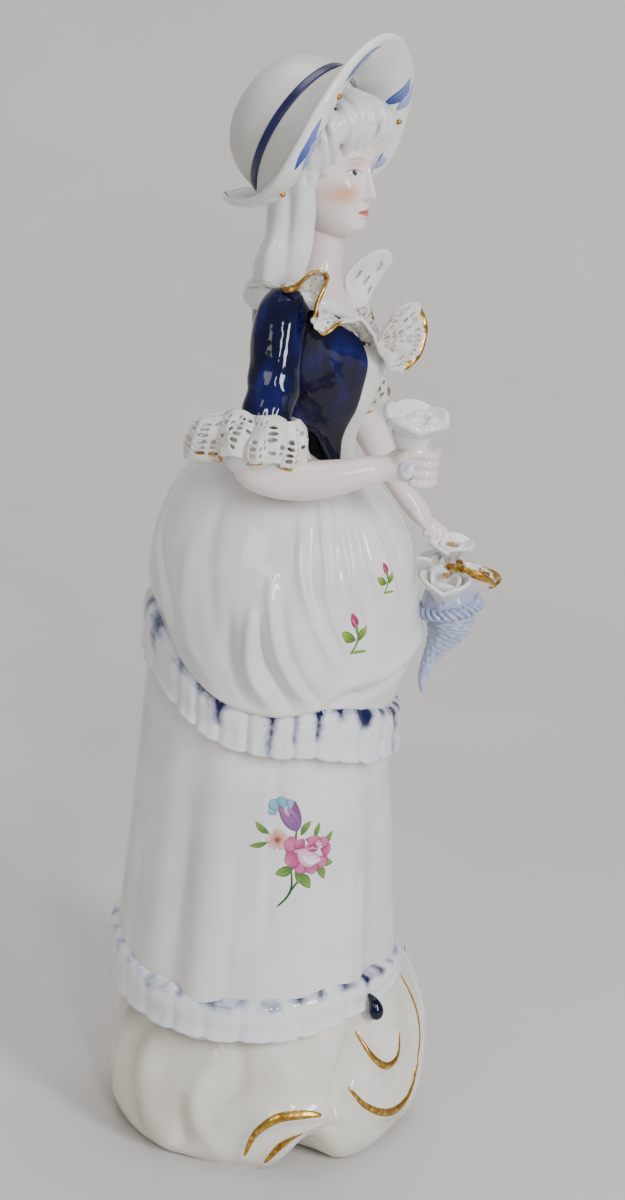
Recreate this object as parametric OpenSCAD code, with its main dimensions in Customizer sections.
/* [Figure] */
// Overall height, foot to brim
height = 280; // [274:1:286]
// Wall of the slip-cast shells
wall = 3; // [2:0.5:4]
// Wall of frills and lace
frill_wall = 1.4; // [1.2:0.1:1.8]

/* [Base] */
// Half width of the mound at its fullest
base_r = 42.5; // [40:0.5:45]
// Height of the mound behind the figure
base_h = 36; // [33:0.5:38]
// Height of the arch cut under each side
arch_h = 8; // [5:0.5:10]
// Radius of the vent hole in the floor
vent_r = 4; // [2.5:0.5:6]

/* [Skirts] */
// Half width of the underskirt at its hem
hem_r = 36.4; // [35:0.2:37]
// Half width of the underskirt under the drape
under_top_r = 31; // [29:0.5:32]
// Half depth of the draped overskirt
drape_r = 35.4; // [34:0.2:37]
// Half width of the draped overskirt, hip to hip
hip_r = 40; // [38:0.5:42]
// Pleats round the hem frill
hem_pleats = 24; // [16:1:30]
// Pleats round the drape's frill
drape_pleats = 22; // [16:1:28]

/* [Upper body] */
// Half width of the waist
waist_r = 11; // [10:0.2:12]
// Half width at the shoulders
shoulder_r = 20; // [19:0.5:21]
// Turn of the head towards the right shoulder, in degrees
head_turn = 24; // [10:1:35]
// Radius of the sleeves
sleeve_r = 6.2; // [5.5:0.1:6.6]

/* [Hat] */
// Half length of the brim, nape to brow
brim_r = 30; // [28:0.5:31]
// Half width of the brim, ear to ear
brim_w = 27.4; // [25:0.2:28]
// Depth of the crown behind its band
crown_h = 12.8; // [12:0.2:15]

/* [Hidden] */
glaze = "whitesmoke";
flesh = "mistyrose";
cobalt = "midnightblue";
wash = "lightsteelblue";
lustre = "goldenrod";
k = height / 280;          // every part grows with the figure
gap = 0.2;                 // slip joint left between fitted parts
skirt_y = 4;               // the skirts sit a little behind the base's middle
waist = [0, -1.3, 183];
steps = 48;

// ---------- geometry helpers ----------
function unit(v) = v / norm(v);
function mix(a, b, t) = a + (b - a) * t;
function smooth(t) = let (s = min(max(t, 0), 1)) s * s * (3 - 2 * s);
// Front of the figure is -Y: 1 straight ahead, -1 behind.
function ahead(a) = -sin(a);
// A level oval whose radius waves with the pleats.
function oval(c, rx, ry, n = steps, wave = 0, waves = 0, turn = 0) =
    [for (i = [0:n - 1]) let (a = 360 * i / n, w = wave * sin(waves * a + turn))
        c + [(rx + w) * cos(a), (ry + w) * sin(a), 0]];
// An oval in any plane, with axes u and v.
function tilted(c, u, v, ru, rv, n = 20) =
    [for (i = [0:n - 1]) let (a = 360 * i / n) c + u * ru * cos(a) + v * rv * sin(a)];
// Tube rings along a path, each [point, radius across, radius up].
function tube_rings(stations, up = [0, 0, 1], n = 14) =
    [for (i = [0:len(stations) - 1])
        let (last = len(stations) - 1,
             along = unit(stations[min(i + 1, last)][0] - stations[max(i - 1, 0)][0]),
             side = unit(cross(along, up)), top = cross(side, along))
        tilted(stations[i][0], side, top, stations[i][1], stations[i][2], n)];

// A closed skin over a list of rings that all have the same number of points.
module skin(rings, looped = false) {
    n = len(rings[0]);
    m = len(rings);
    last = looped ? m - 1 : m - 2;
    sides = [for (j = [0:last], i = [0:n - 1])
        let (a = j * n + i, b = j * n + (i + 1) % n,
             c = ((j + 1) % m) * n + (i + 1) % n, d = ((j + 1) % m) * n + i)
        each [[a, c, b], [a, d, c]]];
    ends = looped ? [] : [[for (i = [0:n - 1]) i], [for (i = [n - 1:-1:0]) (m - 1) * n + i]];
    polyhedron([for (r = rings) each r], concat(sides, ends), convexity = 8);
}
module tube(stations, up = [0, 0, 1], n = 14) skin(tube_rings(stations, up, n));

// ---------- base ----------
// Outer radius of the mound at a height, before its lobes.
function mound_r(z) = base_r - 4.2 * exp(-z / 2.6) - 7 * pow(min(z, 40) / 36, 5);
function lobe(a) = 0.8 * cos(5 * a + 40);
// The mound stands higher in front, under the toes.
function mound_rise(a, z) = 3.2 * (1 + ahead(a)) * smooth(z / base_h);
// Two arches in front of the hips lift the foot rim clear of the table.
function arch(a) = arch_h * (exp(-pow((a - 212) / 12, 2)) + exp(-pow((a - 328) / 12, 2)));
function base_ring(z, inset = 0, foot = 0) =
    [for (i = [0:steps - 1]) let (a = 360 * i / steps, r = mound_r(z) + lobe(a) - inset)
        [r * cos(a) * 0.97, r * sin(a), z + mound_rise(a, z) + foot * arch(a)]];
// The seat is a level step round which the underskirt's rim stands.
function seat_ring(r, z, rise = 0) =
    [for (q = oval([0, skirt_y, z], r + 1, r)) q + [0, 0, rise * (1 - (q[1] - skirt_y) / r)]];
module base() color(glaze) {
    h = base_h;
    hole = oval([0, 16, 0], vent_r, vent_r);
    lift = [0, 0, wall];
    skin([
        hole, oval([0, 1, 0], 28, 30), base_ring(0, 0, 1), base_ring(2, 0, 0.7), base_ring(5, 0, 0.3),
        base_ring(10), base_ring(17), base_ring(24), base_ring(29), base_ring(32), base_ring(h - 1.4),
        seat_ring(hem_r + 0.3, h + 0.2, 3), seat_ring(hem_r + gap, h - 2), seat_ring(hem_r - 6, h - 2),
        seat_ring(hem_r - 6, h - 2 - wall), base_ring(h * 0.8 - wall, wall), base_ring(h * 0.5, wall),
        base_ring(arch_h + wall + 3, wall + 1), base_ring(arch_h + wall, 2 * wall),
        [for (q = oval([0, 1, 0], 26, 28)) q + lift], [for (q = hole) q + lift]
    ], looped = true);
}
// A rococo scroll laid on the mound: a ridge through [angle, height] points, swelling in the middle.
module scroll(from, mid, to, size) {
    stations = [for (i = [0:10])
        let (t = i / 10, q = from * (1 - t) * (1 - t) + mid * 2 * t * (1 - t) + to * t * t,
             s = 0.35 + size * pow(sin(180 * t), 0.7), r = mound_r(q[1]) + lobe(q[0]) + s + 0.12)
        [[r * cos(q[0]) * 0.97, r * sin(q[0]), q[1] + mound_rise(q[0], q[1])], s, s * 0.9]];
    tube(stations, n = 8);
}
module scrollwork() color(lustre)
    for (side = [0, 1]) mirror([side, 0, 0]) {
        scroll([258, 24], [240, 9], [228, 19], 0.9);
        scroll([259, 13], [240, 1], [226, 12], 0.9);
        scroll([187, 4.4], [194, 12], [208, 12.5], 0.8);
        scroll([262, 30], [266, 18], [262, 4], 0.7);
    }
// Toe of a slipper under the hem.
module toe() tube([
    [[0, 0, 0], 2.6, 1.4], [[0, -1.4, 0.1], 3, 2], [[0, -3.6, 0], 2.6, 2], [[0, -5.4, -0.3], 1.6, 1.4], [[0, -6.4, -0.5], 0.4, 0.4]
], n = 16);
module right_shoe() color(cobalt) translate([-25.2, -28.6, 40.6]) rotate([0, 0, -38]) toe();
module left_shoe() color(cobalt) mirror([1, 0, 0]) right_shoe();

// ---------- skirts ----------
function skirt_r(z) = mix(hem_r, under_top_r, smooth((z - 44) / 84) * 0.6 + 0.4 * (z - 44) / 84);
// Rings tilt up behind as they near the drape, so that the top follows the drape's hem.
function under_ring(z, inset = 0) =
    let (r = skirt_r(z) - inset, tip = 8.6 * smooth((z - 84) / 28))
    [for (q = oval([0, skirt_y, z], r + 1, r, steps, 0.35, 11, 30)) q + [0, 0, tip * (q[1] - skirt_y) / r]];
module underskirt() color(glaze) {
    zs = [base_h - 1.9, 50, 66, 82, 96, 108, 115];
    skin(concat(
        [for (z = zs) under_ring(z)], [under_ring(119, 2.2)], [under_ring(123, 3.4)], [under_ring(123, 12)],
        [under_ring(123 - wall, 12)], [under_ring(115, wall + 2)], [for (i = [5:-1:0]) under_ring(zs[i], wall)]
    ), looped = true);
}
// A gathered frill: an oval band that flares and whose waves grow towards its lower edge.
function frill_ring(c, rx, ry, tilt, wave, waves) =
    [for (q = oval(c, rx, ry, waves * 4, wave, waves)) q + [0, 0, tilt * (q[1] - c[1]) / ry]];
module frill(c, rx, ry, drop, flare, tilt_top, tilt_low, waves) {
    w = frill_wall;
    low = c - [0, 0, drop];
    half = mix(low, c, 0.5);
    lean = mix(tilt_low, tilt_top, 0.5);
    skin([
        frill_ring(c, rx + w, ry + w, tilt_top, 0.1, waves),
        frill_ring(half, rx + flare * 0.6 + w, ry + flare * 0.6 + w, lean, 0.6, waves),
        frill_ring(low, rx + flare + w, ry + flare + w, tilt_low, 1, waves),
        frill_ring(low, rx + flare, ry + flare, tilt_low, 1, waves),
        frill_ring(half, rx + flare * 0.6, ry + flare * 0.6, lean, 0.6, waves),
        frill_ring(c, rx, ry, tilt_top, 0.1, waves)
    ], looped = true);
}
module hem_frill() color(wash)
    frill([0, skirt_y, 49.4], hem_r + 1.4 + gap, hem_r + 0.4 + gap, 10.4, 1.4, -0.6, -3.4, hem_pleats);

// The drape's edges: high behind and low in front, at hem and at waist alike.
function drape_edge(y) = 125.2 + 0.31 * y;
function waist_edge(y) = 183 + 0.7 * y;
// A ring of the drape, t running from its hem (0) to the waist (1). It is fuller in front.
function drape_ring(t, inset = 0) =
    [for (i = [0:steps - 1])
        let (a = 360 * i / steps, f = (1 + ahead(a)) / 2, p = mix(2, 2.6, f),
             u = mix(0.955, 0.98, f) * max(t - 0.12, 0) / 0.88, fat = pow(1 - pow(u, p), 1 / p),
             tuck = 3.6 * max(ahead(a), 0) * (1 - smooth(t / 0.35)) + 1.2 * (1 - smooth(t / 0.14)),
             fold = 0.5 * sin(9 * a + 60 * t) * sin(180 * t), d = fold - tuck - inset,
             cy = mix(1.2, waist[1], smooth((t - 0.4) / 0.6)), y = cy + (drape_r * fat + d) * sin(a))
        [(hip_r * fat + d) * cos(a), y, mix(drape_edge(y), waist_edge(y), t)]];
module overskirt() color(glaze) {
    ts = [0.06, 0.14, 0.26, 0.4, 0.55, 0.7, 0.82, 0.91, 0.96, 1];
    skin(concat(
        [drape_ring(0, 1)], [for (t = ts) drape_ring(t)],
        [for (i = [9:-1:0]) drape_ring(ts[i] - (i > 5 ? 0.03 : 0), wall)], [drape_ring(0.02, wall)]
    ), looped = true);
}
module overskirt_frill() color(wash)
    frill([0, 2.4, 124.4], 31.2 + 1, 29.8, 10, 3.2, 9.8, 9.4, drape_pleats);

// ---------- body ----------
// Torso rings: [height, half width, reach behind, reach in front, slope of the ring towards the front].
torso = [
    [183.3, 11.6, 9, 11.8, 0.7], [188, 11.4, 8.6, 13.4, 0.45], [193, 13, 9, 16, 0.2], [199, 15.4, 10, 17.8, 0],
    [205, 17.4, 11.6, 18.2, 0], [211, 18.2, 12.6, 15.4, 0], [216, 17.4, 12.4, 12.6, 0]
];
function torso_point(t, a, d) =
    let (y = (sin(a) > 0 ? t[2] + d : t[3] + d) * sin(a)) [(t[1] + d) * cos(a), y, t[0] + t[4] * y];
// The wall's section at one angle: up its inside, then down its outside.
function wall_section(rows, a, out, inset) =
    concat([for (t = rows) torso_point(t, a, -inset)], [for (i = [len(rows) - 1:-1:0]) torso_point(rows[i], a, out)]);
module torso_wall(rows, from, to, out, inset, n)
    skin([for (i = [0:n]) wall_section(rows, mix(from, to, i / n), out, inset)]);
module bodice() color(cobalt) torso_wall(torso, -60, 240, 0, 2, 30);
module stomacher() color(glaze) torso_wall([for (t = torso) if (t[0] < 206) t], 240.6, 299.4, 0.3, 2, 10);
module bust() color(flesh)
    skin([
        oval([0, 0, 197], 9, 7, 32), oval([0, -1.6, 205], 14.4, 9.4, 32), oval([0, -1, 212], 15.4, 10.4, 32),
        oval([0, -0.4, 217], 14, 9.6, 32), oval([0, -0.4, 220.6], 10.6, 7.4, 32), oval([0, -1.6, 224], 6.8, 6, 32),
        oval([0, -2.6, 229], 5.5, 5.5, 32), oval([0, -2.8, 233.8], 5.2, 5.2, 32)
    ]);

// ---------- head and hat ----------
head_c = [-1, -3.4, 250.5];
module turned() translate(head_c) rotate([0, 0, -head_turn - 9]) children();
// The head in its own frame: face towards -Y, middle of the skull at the origin.
module head() color(flesh) turned()
    skin([
        oval([0, 0.6, -16.5], 5.2, 5.2, 28), oval([0, 0.4, -14.8], 5.3, 5.6, 28), oval([0, -2.4, -13.8], 5.2, 7.6, 28),
        oval([0, -2.6, -11.4], 7.2, 8.6, 28), oval([0, -1.6, -6], 9, 10.4, 28), oval([0, -0.6, 0], 9.8, 11.2, 28),
        oval([0, 0, 6], 9.6, 11, 28), oval([0, 0.4, 11], 7.6, 8.6, 28), oval([0, 0.6, 14.4], 4, 4.6, 28),
        oval([0, 0.6, 15.4], 1, 1, 28)
    ]);
// Rolled hair frames the face between the brim and the cheeks.
module hair() color(glaze) turned()
    for (side = [-1, 1]) tube([
        [[side * 1.4, -13.4, 8.6], 1.2, 2.6], [[side * 5.4, -12.6, 7.8], 2.2, 3], [[side * 10.4, -9, 4.4], 2.4, 3.2],
        [[side * 12.8, -4, -0.4], 2.4, 3.2], [[side * 12.4, 0, -6], 2.2, 3], [[side * 10.8, 3.6, -10.4], 1.2, 1.6]
    ], up = [0, 1, 0.2]);
module lock(stations) color(glaze) tube(stations, up = [1, 0, 0]);
module side_lock() lock([
    [[-13, 3.5, 240], 2.4, 3], [[-12.6, 3.5, 235], 3.2, 4.4], [[-12.4, 3.8, 229], 3, 4.2],
    [[-12.8, 3.4, 224.6], 2.6, 3.6], [[-13, 3, 222.6], 1.2, 1.8]
]);
module back_lock() lock([
    [[-3, 10.4, 239], 6, 2.6], [[-3, 10, 233], 6.6, 3], [[-3, 11, 228], 7, 3.4],
    [[-3, 13, 223.6], 6.4, 3], [[-3, 14.4, 220.6], 3, 1.4]
]);

// The hat's frame: X ear to ear, Y down to the nape, Z out of the crown's back.
hat_lean = 63;
hat_c = [-2.6, 5.2, 258.8];
module in_hat() translate(hat_c) rotate([0, 0, -head_turn]) rotate([-hat_lean, 0, 0]) children();
// Reach and height of a ring are given at [brow, ears, nape], and the nape's edge can run out into a point.
function brim_ring(reach, height, point = 0) =
    [for (i = [0:steps - 1])
        let (a = 360 * i / steps, part = [pow(max(-sin(a), 0), 2), pow(cos(a), 2), pow(max(sin(a), 0), 2)],
             r = reach * part + point * exp(-pow((a - 90) / 22, 2)))
        [r * cos(a), r * sin(a), height * part]];
function crown_ring(r, z) = brim_ring([r, r, r], [z, z, z]);
module hat() color(glaze) in_hat() {
    e = brim_r - 0.5;
    f = brim_w - 0.5;
    h = crown_h;
    skin([
        crown_ring(0.6, h), crown_ring(7.4, h * 0.9), crown_ring(12.4, h * 0.64), crown_ring(15, h * 0.26),
        crown_ring(15.7, -4), brim_ring([21.6, 19.6, 18.6], [-7.6, -12.4, -2.6], 0.6),
        brim_ring([e - 0.8, f - 0.8, 21], [-10.4, -14.6, 4.4], 2.4), brim_ring([e, f, 21.8], [-9.6, -13.6, 6], 3),
        brim_ring([e - 0.8, f - 0.8, 20.6], [-8.8, -12.6, 6], 2.8), brim_ring([21.8, 21, 18.9], [-5.4, -9.6, 0.6], 0.8),
        crown_ring(17.2, -2.6), crown_ring(16.9, h * 0.3), crown_ring(14.2, h * 0.78),
        crown_ring(8.8, h * 1.06), crown_ring(0.6, h + 2)
    ]);
}
module hat_band() color(cobalt) in_hat()
    skin([crown_ring(17.45, -1.9), crown_ring(18.1, -1.8), crown_ring(17.9, 0.4), crown_ring(17.35, 0.6)], looped = true);
module brim_buds() color(lustre) in_hat()
    for (a = [14, 166, 205, 240, 292, 330])
        translate([23 * cos(a), 23.4 * sin(a), -10.4 - 5 * pow(cos(a), 2)]) sphere(r = 0.8, $fn = 24);

// ---------- arms ----------
module right_sleeve() color(cobalt) tube([
    [[-17, 4.5, 219.5], 3.6, 4], [[-20, 5.5, 217], 5.6, 5.8], [[-22.4, 6.2, 211], sleeve_r, sleeve_r],
    [[-25, 6.6, 203], sleeve_r, sleeve_r], [[-27.6, 7.8, 196.6], sleeve_r, sleeve_r], [[-28.8, 8.4, 192.6], 5.6, 5.6]
], up = [0, 1, 0], n = 20);
module left_sleeve() color(cobalt) tube([
    [[17, 4, 219.5], 3.6, 4], [[20, 4.4, 216.5], 5.6, 5.8], [[22.6, 2.4, 210], sleeve_r, sleeve_r],
    [[24.6, -2.4, 202], sleeve_r, sleeve_r], [[25.4, -7.6, 194.8], 5.9, 5.9], [[25.7, -10.2, 191.4], 5.4, 5.4]
], up = [0, 1, 0], n = 20);
module right_forearm() color(flesh) tube([
    [[-29, 9.2, 192], 4.8, 4.8], [[-30, 11, 187.6], 5, 5.4], [[-31.4, 10, 182.4], 5, 5.6], [[-32.4, 4, 180.6], 4.9, 5.1],
    [[-32.6, -4, 180.6], 4.6, 4.7], [[-32.4, -12, 181.8], 3.8, 3.9], [[-32, -19, 183.4], 3.2, 3.3], [[-31.8, -21.6, 184], 3, 3.1]
], up = [-1, 0, 0.1], n = 20);
module right_hand() color(flesh) tube([
    [[-31.8, -21.8, 184], 3, 3.2], [[-31.6, -24.4, 184.8], 3.8, 4.4], [[-31.4, -28, 185.4], 4.2, 4.9], [[-31.4, -31, 185.2], 3.4, 4],
    [[-31.4, -32.4, 184.8], 1.2, 1.8]
], n = 20);
module left_forearm() color(flesh) tube([
    [[25.7, -10.8, 190.8], 4.4, 4.4], [[25.8, -14.6, 185.6], 4.5, 4.5], [[26.2, -19, 178.6], 4.2, 4.2], [[27.2, -23, 171.4], 3.5, 3.6],
    [[28.6, -26.8, 165.2], 2.8, 3], [[29, -28, 163.4], 2.7, 2.9]
], up = [1, 0, 0], n = 18);
module left_hand() color(flesh) tube([
    [[29.1, -28.2, 163.1], 2.7, 3], [[29.6, -30.4, 160.4], 3.4, 4], [[30, -32.8, 157.4], 3.4, 4.2], [[30, -34.8, 154.8], 2.4, 3.2],
    [[30, -35.6, 153.8], 1, 1.4]
], up = [1, 0, 0], n = 18);

// ---------- lace ----------
// A gathered strip of dipped lace round an arm; it fans out, with a longer tail behind.
module cuff(c, axis, r_in, r_out, length, waves, tail) {
    along = unit(axis);
    side = unit(cross(along, [0, 1, 0.3]));
    top = cross(side, along);
    n = waves * 4;
    function lace_ring(t, r, wave) = [for (i = [0:n - 1])
        let (a = 360 * i / n, w = wave * sin(waves * a), reach = r + w + tail * t * exp(-pow((a - 90) / 34, 2)))
        c + along * (length * t + w * 0.8) + (side * cos(a) + top * sin(a)) * reach];
    w = frill_wall;
    skin([
        lace_ring(0, r_in, 0.1), lace_ring(0, r_in + w, 0.1), lace_ring(0.5, mix(r_in, r_out, 0.7) + w, 0.5),
        lace_ring(1, r_out + w, 1), lace_ring(1, r_out, 1), lace_ring(0.5, mix(r_in, r_out, 0.7), 0.5)
    ], looped = true);
}
module right_cuff() color(glaze) cuff([-29, 8.4, 193.4], [-0.26, 0.15, -0.95], 6.6, 12, 8.6, 9, 5);
module left_cuff() color(glaze) cuff([25.7, -10.6, 191.2], [0, -0.42, -0.9], 6.4, 9.4, 7.6, 7, 0);
// The lace collar lies on the shoulders and stands out in front.
function collar_ring(t, lift, wave) =
    [for (i = [0:51]) let (a = 360 * i / 52, f = pow(max(ahead(a), 0), 2), w = wave * sin(13 * a))
        [(mix(11.4, 21, t) + w) * cos(a), -2 - 9 * f * t + (mix(9.4, 15.2, t) + w) * sin(a),
         221.6 - 4.6 * t - (2 + 6.4 * t) * f + lift + w * 1.2]];
module collar() color(glaze)
    skin([
        collar_ring(0, 0, 0.1), collar_ring(0, 1.2, 0.1), collar_ring(0.55, 2.6, 0.6), collar_ring(1, 2.2, 1.2),
        collar_ring(1, 0.8, 1.2), collar_ring(0.55, 1.2, 0.6)
    ], looped = true);
// A pleated fan of lace that stands up on the left shoulder.
module collar_fan() color(glaze) translate([12, -14.6, 217.6]) rotate([0, 0, -24])
    skin([for (t = [0:4]) let (s = t / 4, half = mix(1.6, 7, s), z = 12 * s)
        [for (i = [0:23]) let (a = 360 * i / 24)
            [half * cos(a), -6.4 * s + (0.7 + 0.25 * s) * sin(a) + 1.2 * s * cos(1.5 * 90 * cos(a)), z + 1.6 * s * (1 - pow(cos(a), 2))]]]);

// ---------- flowers and basket ----------
module bloom(r, h, petals = 5) {
    function petal_ring(s, z, lobe) = [for (i = [0:petals * 8 - 1]) let (a = 360 * i / (petals * 8))
        (r * s + lobe * cos(petals * a)) * [cos(a), sin(a), 0] + [0, 0, z + 0.5 * lobe * cos(petals * a)]];
    skin([petal_ring(0.2, 0, 0), petal_ring(0.62, h * 0.3, 0.2), petal_ring(0.94, h * 0.72, 0.7), petal_ring(1, h * 0.9, 0.9),
        petal_ring(0.85, h * 0.95, 0.8), petal_ring(0.3, h * 0.72, 0.2)]);
}
module hand_flower() color(glaze) translate([-31.4, -27, 190.6]) rotate([10, -8, 0]) bloom(7, 9.6);
// A cornucopia whose tail curls back to the drape's hem.
basket_c = [26, -42.6, 132.6];
module in_basket() translate(basket_c) rotate([-12, 0, 8]) children();
module basket() color(wash) in_basket()
    skin([
        oval([-1.6, 12.6, -18.6], 0.9, 0.9, 24), oval([-1.2, 11, -17.4], 1.9, 1.9, 24), oval([-0.8, 7.6, -13.8], 2.8, 2.8, 24),
        oval([0, 4.4, -9.6], 4, 3.8, 24), oval([0, 1.8, -6], 5.6, 5.2, 24), oval([0, 0, -3], 7, 6.8, 24), oval([0, 0, -0.2], 6.6, 6.4, 24)
    ]);
module basket_rim() color(wash) in_basket()
    skin([
        oval([0, 0, -2.4], 7.3, 7.1, 40, 0.1, 10), oval([0, 0, -1.6], 8.4, 8.2, 40, 0.4, 10), oval([0, 0, 1], 8.2, 8, 40, 0.4, 10),
        oval([0, 0, 1.4], 7.4, 7.2, 40, 0.3, 10), oval([0, 0, 0], 6.9, 6.7, 40, 0.1, 10)
    ], looped = true);
module basket_flowers() color(glaze) in_basket() {
    translate([0.4, -2.6, 0.6]) rotate([24, 0, 0]) bloom(7.6, 11);
    translate([2, 5.4, 4]) rotate([-20, 0, 0]) bloom(4.4, 9);
    translate([1.6, -3.2, 11.8]) rotate([16, 10, 0]) bloom(5, 6);
}

scale(k) {
    base();
    scrollwork();
    right_shoe();
    left_shoe();
    underskirt();
    hem_frill();
    overskirt();
    overskirt_frill();
    bodice();
    stomacher();
    bust();
    head();
    hair();
    side_lock();
    back_lock();
    hat();
    hat_band();
    brim_buds();
    right_sleeve();
    right_cuff();
    right_forearm();
    right_hand();
    hand_flower();
    left_sleeve();
    left_cuff();
    left_forearm();
    left_hand();
    basket();
    basket_rim();
    basket_flowers();
    collar();
    collar_fan();
}
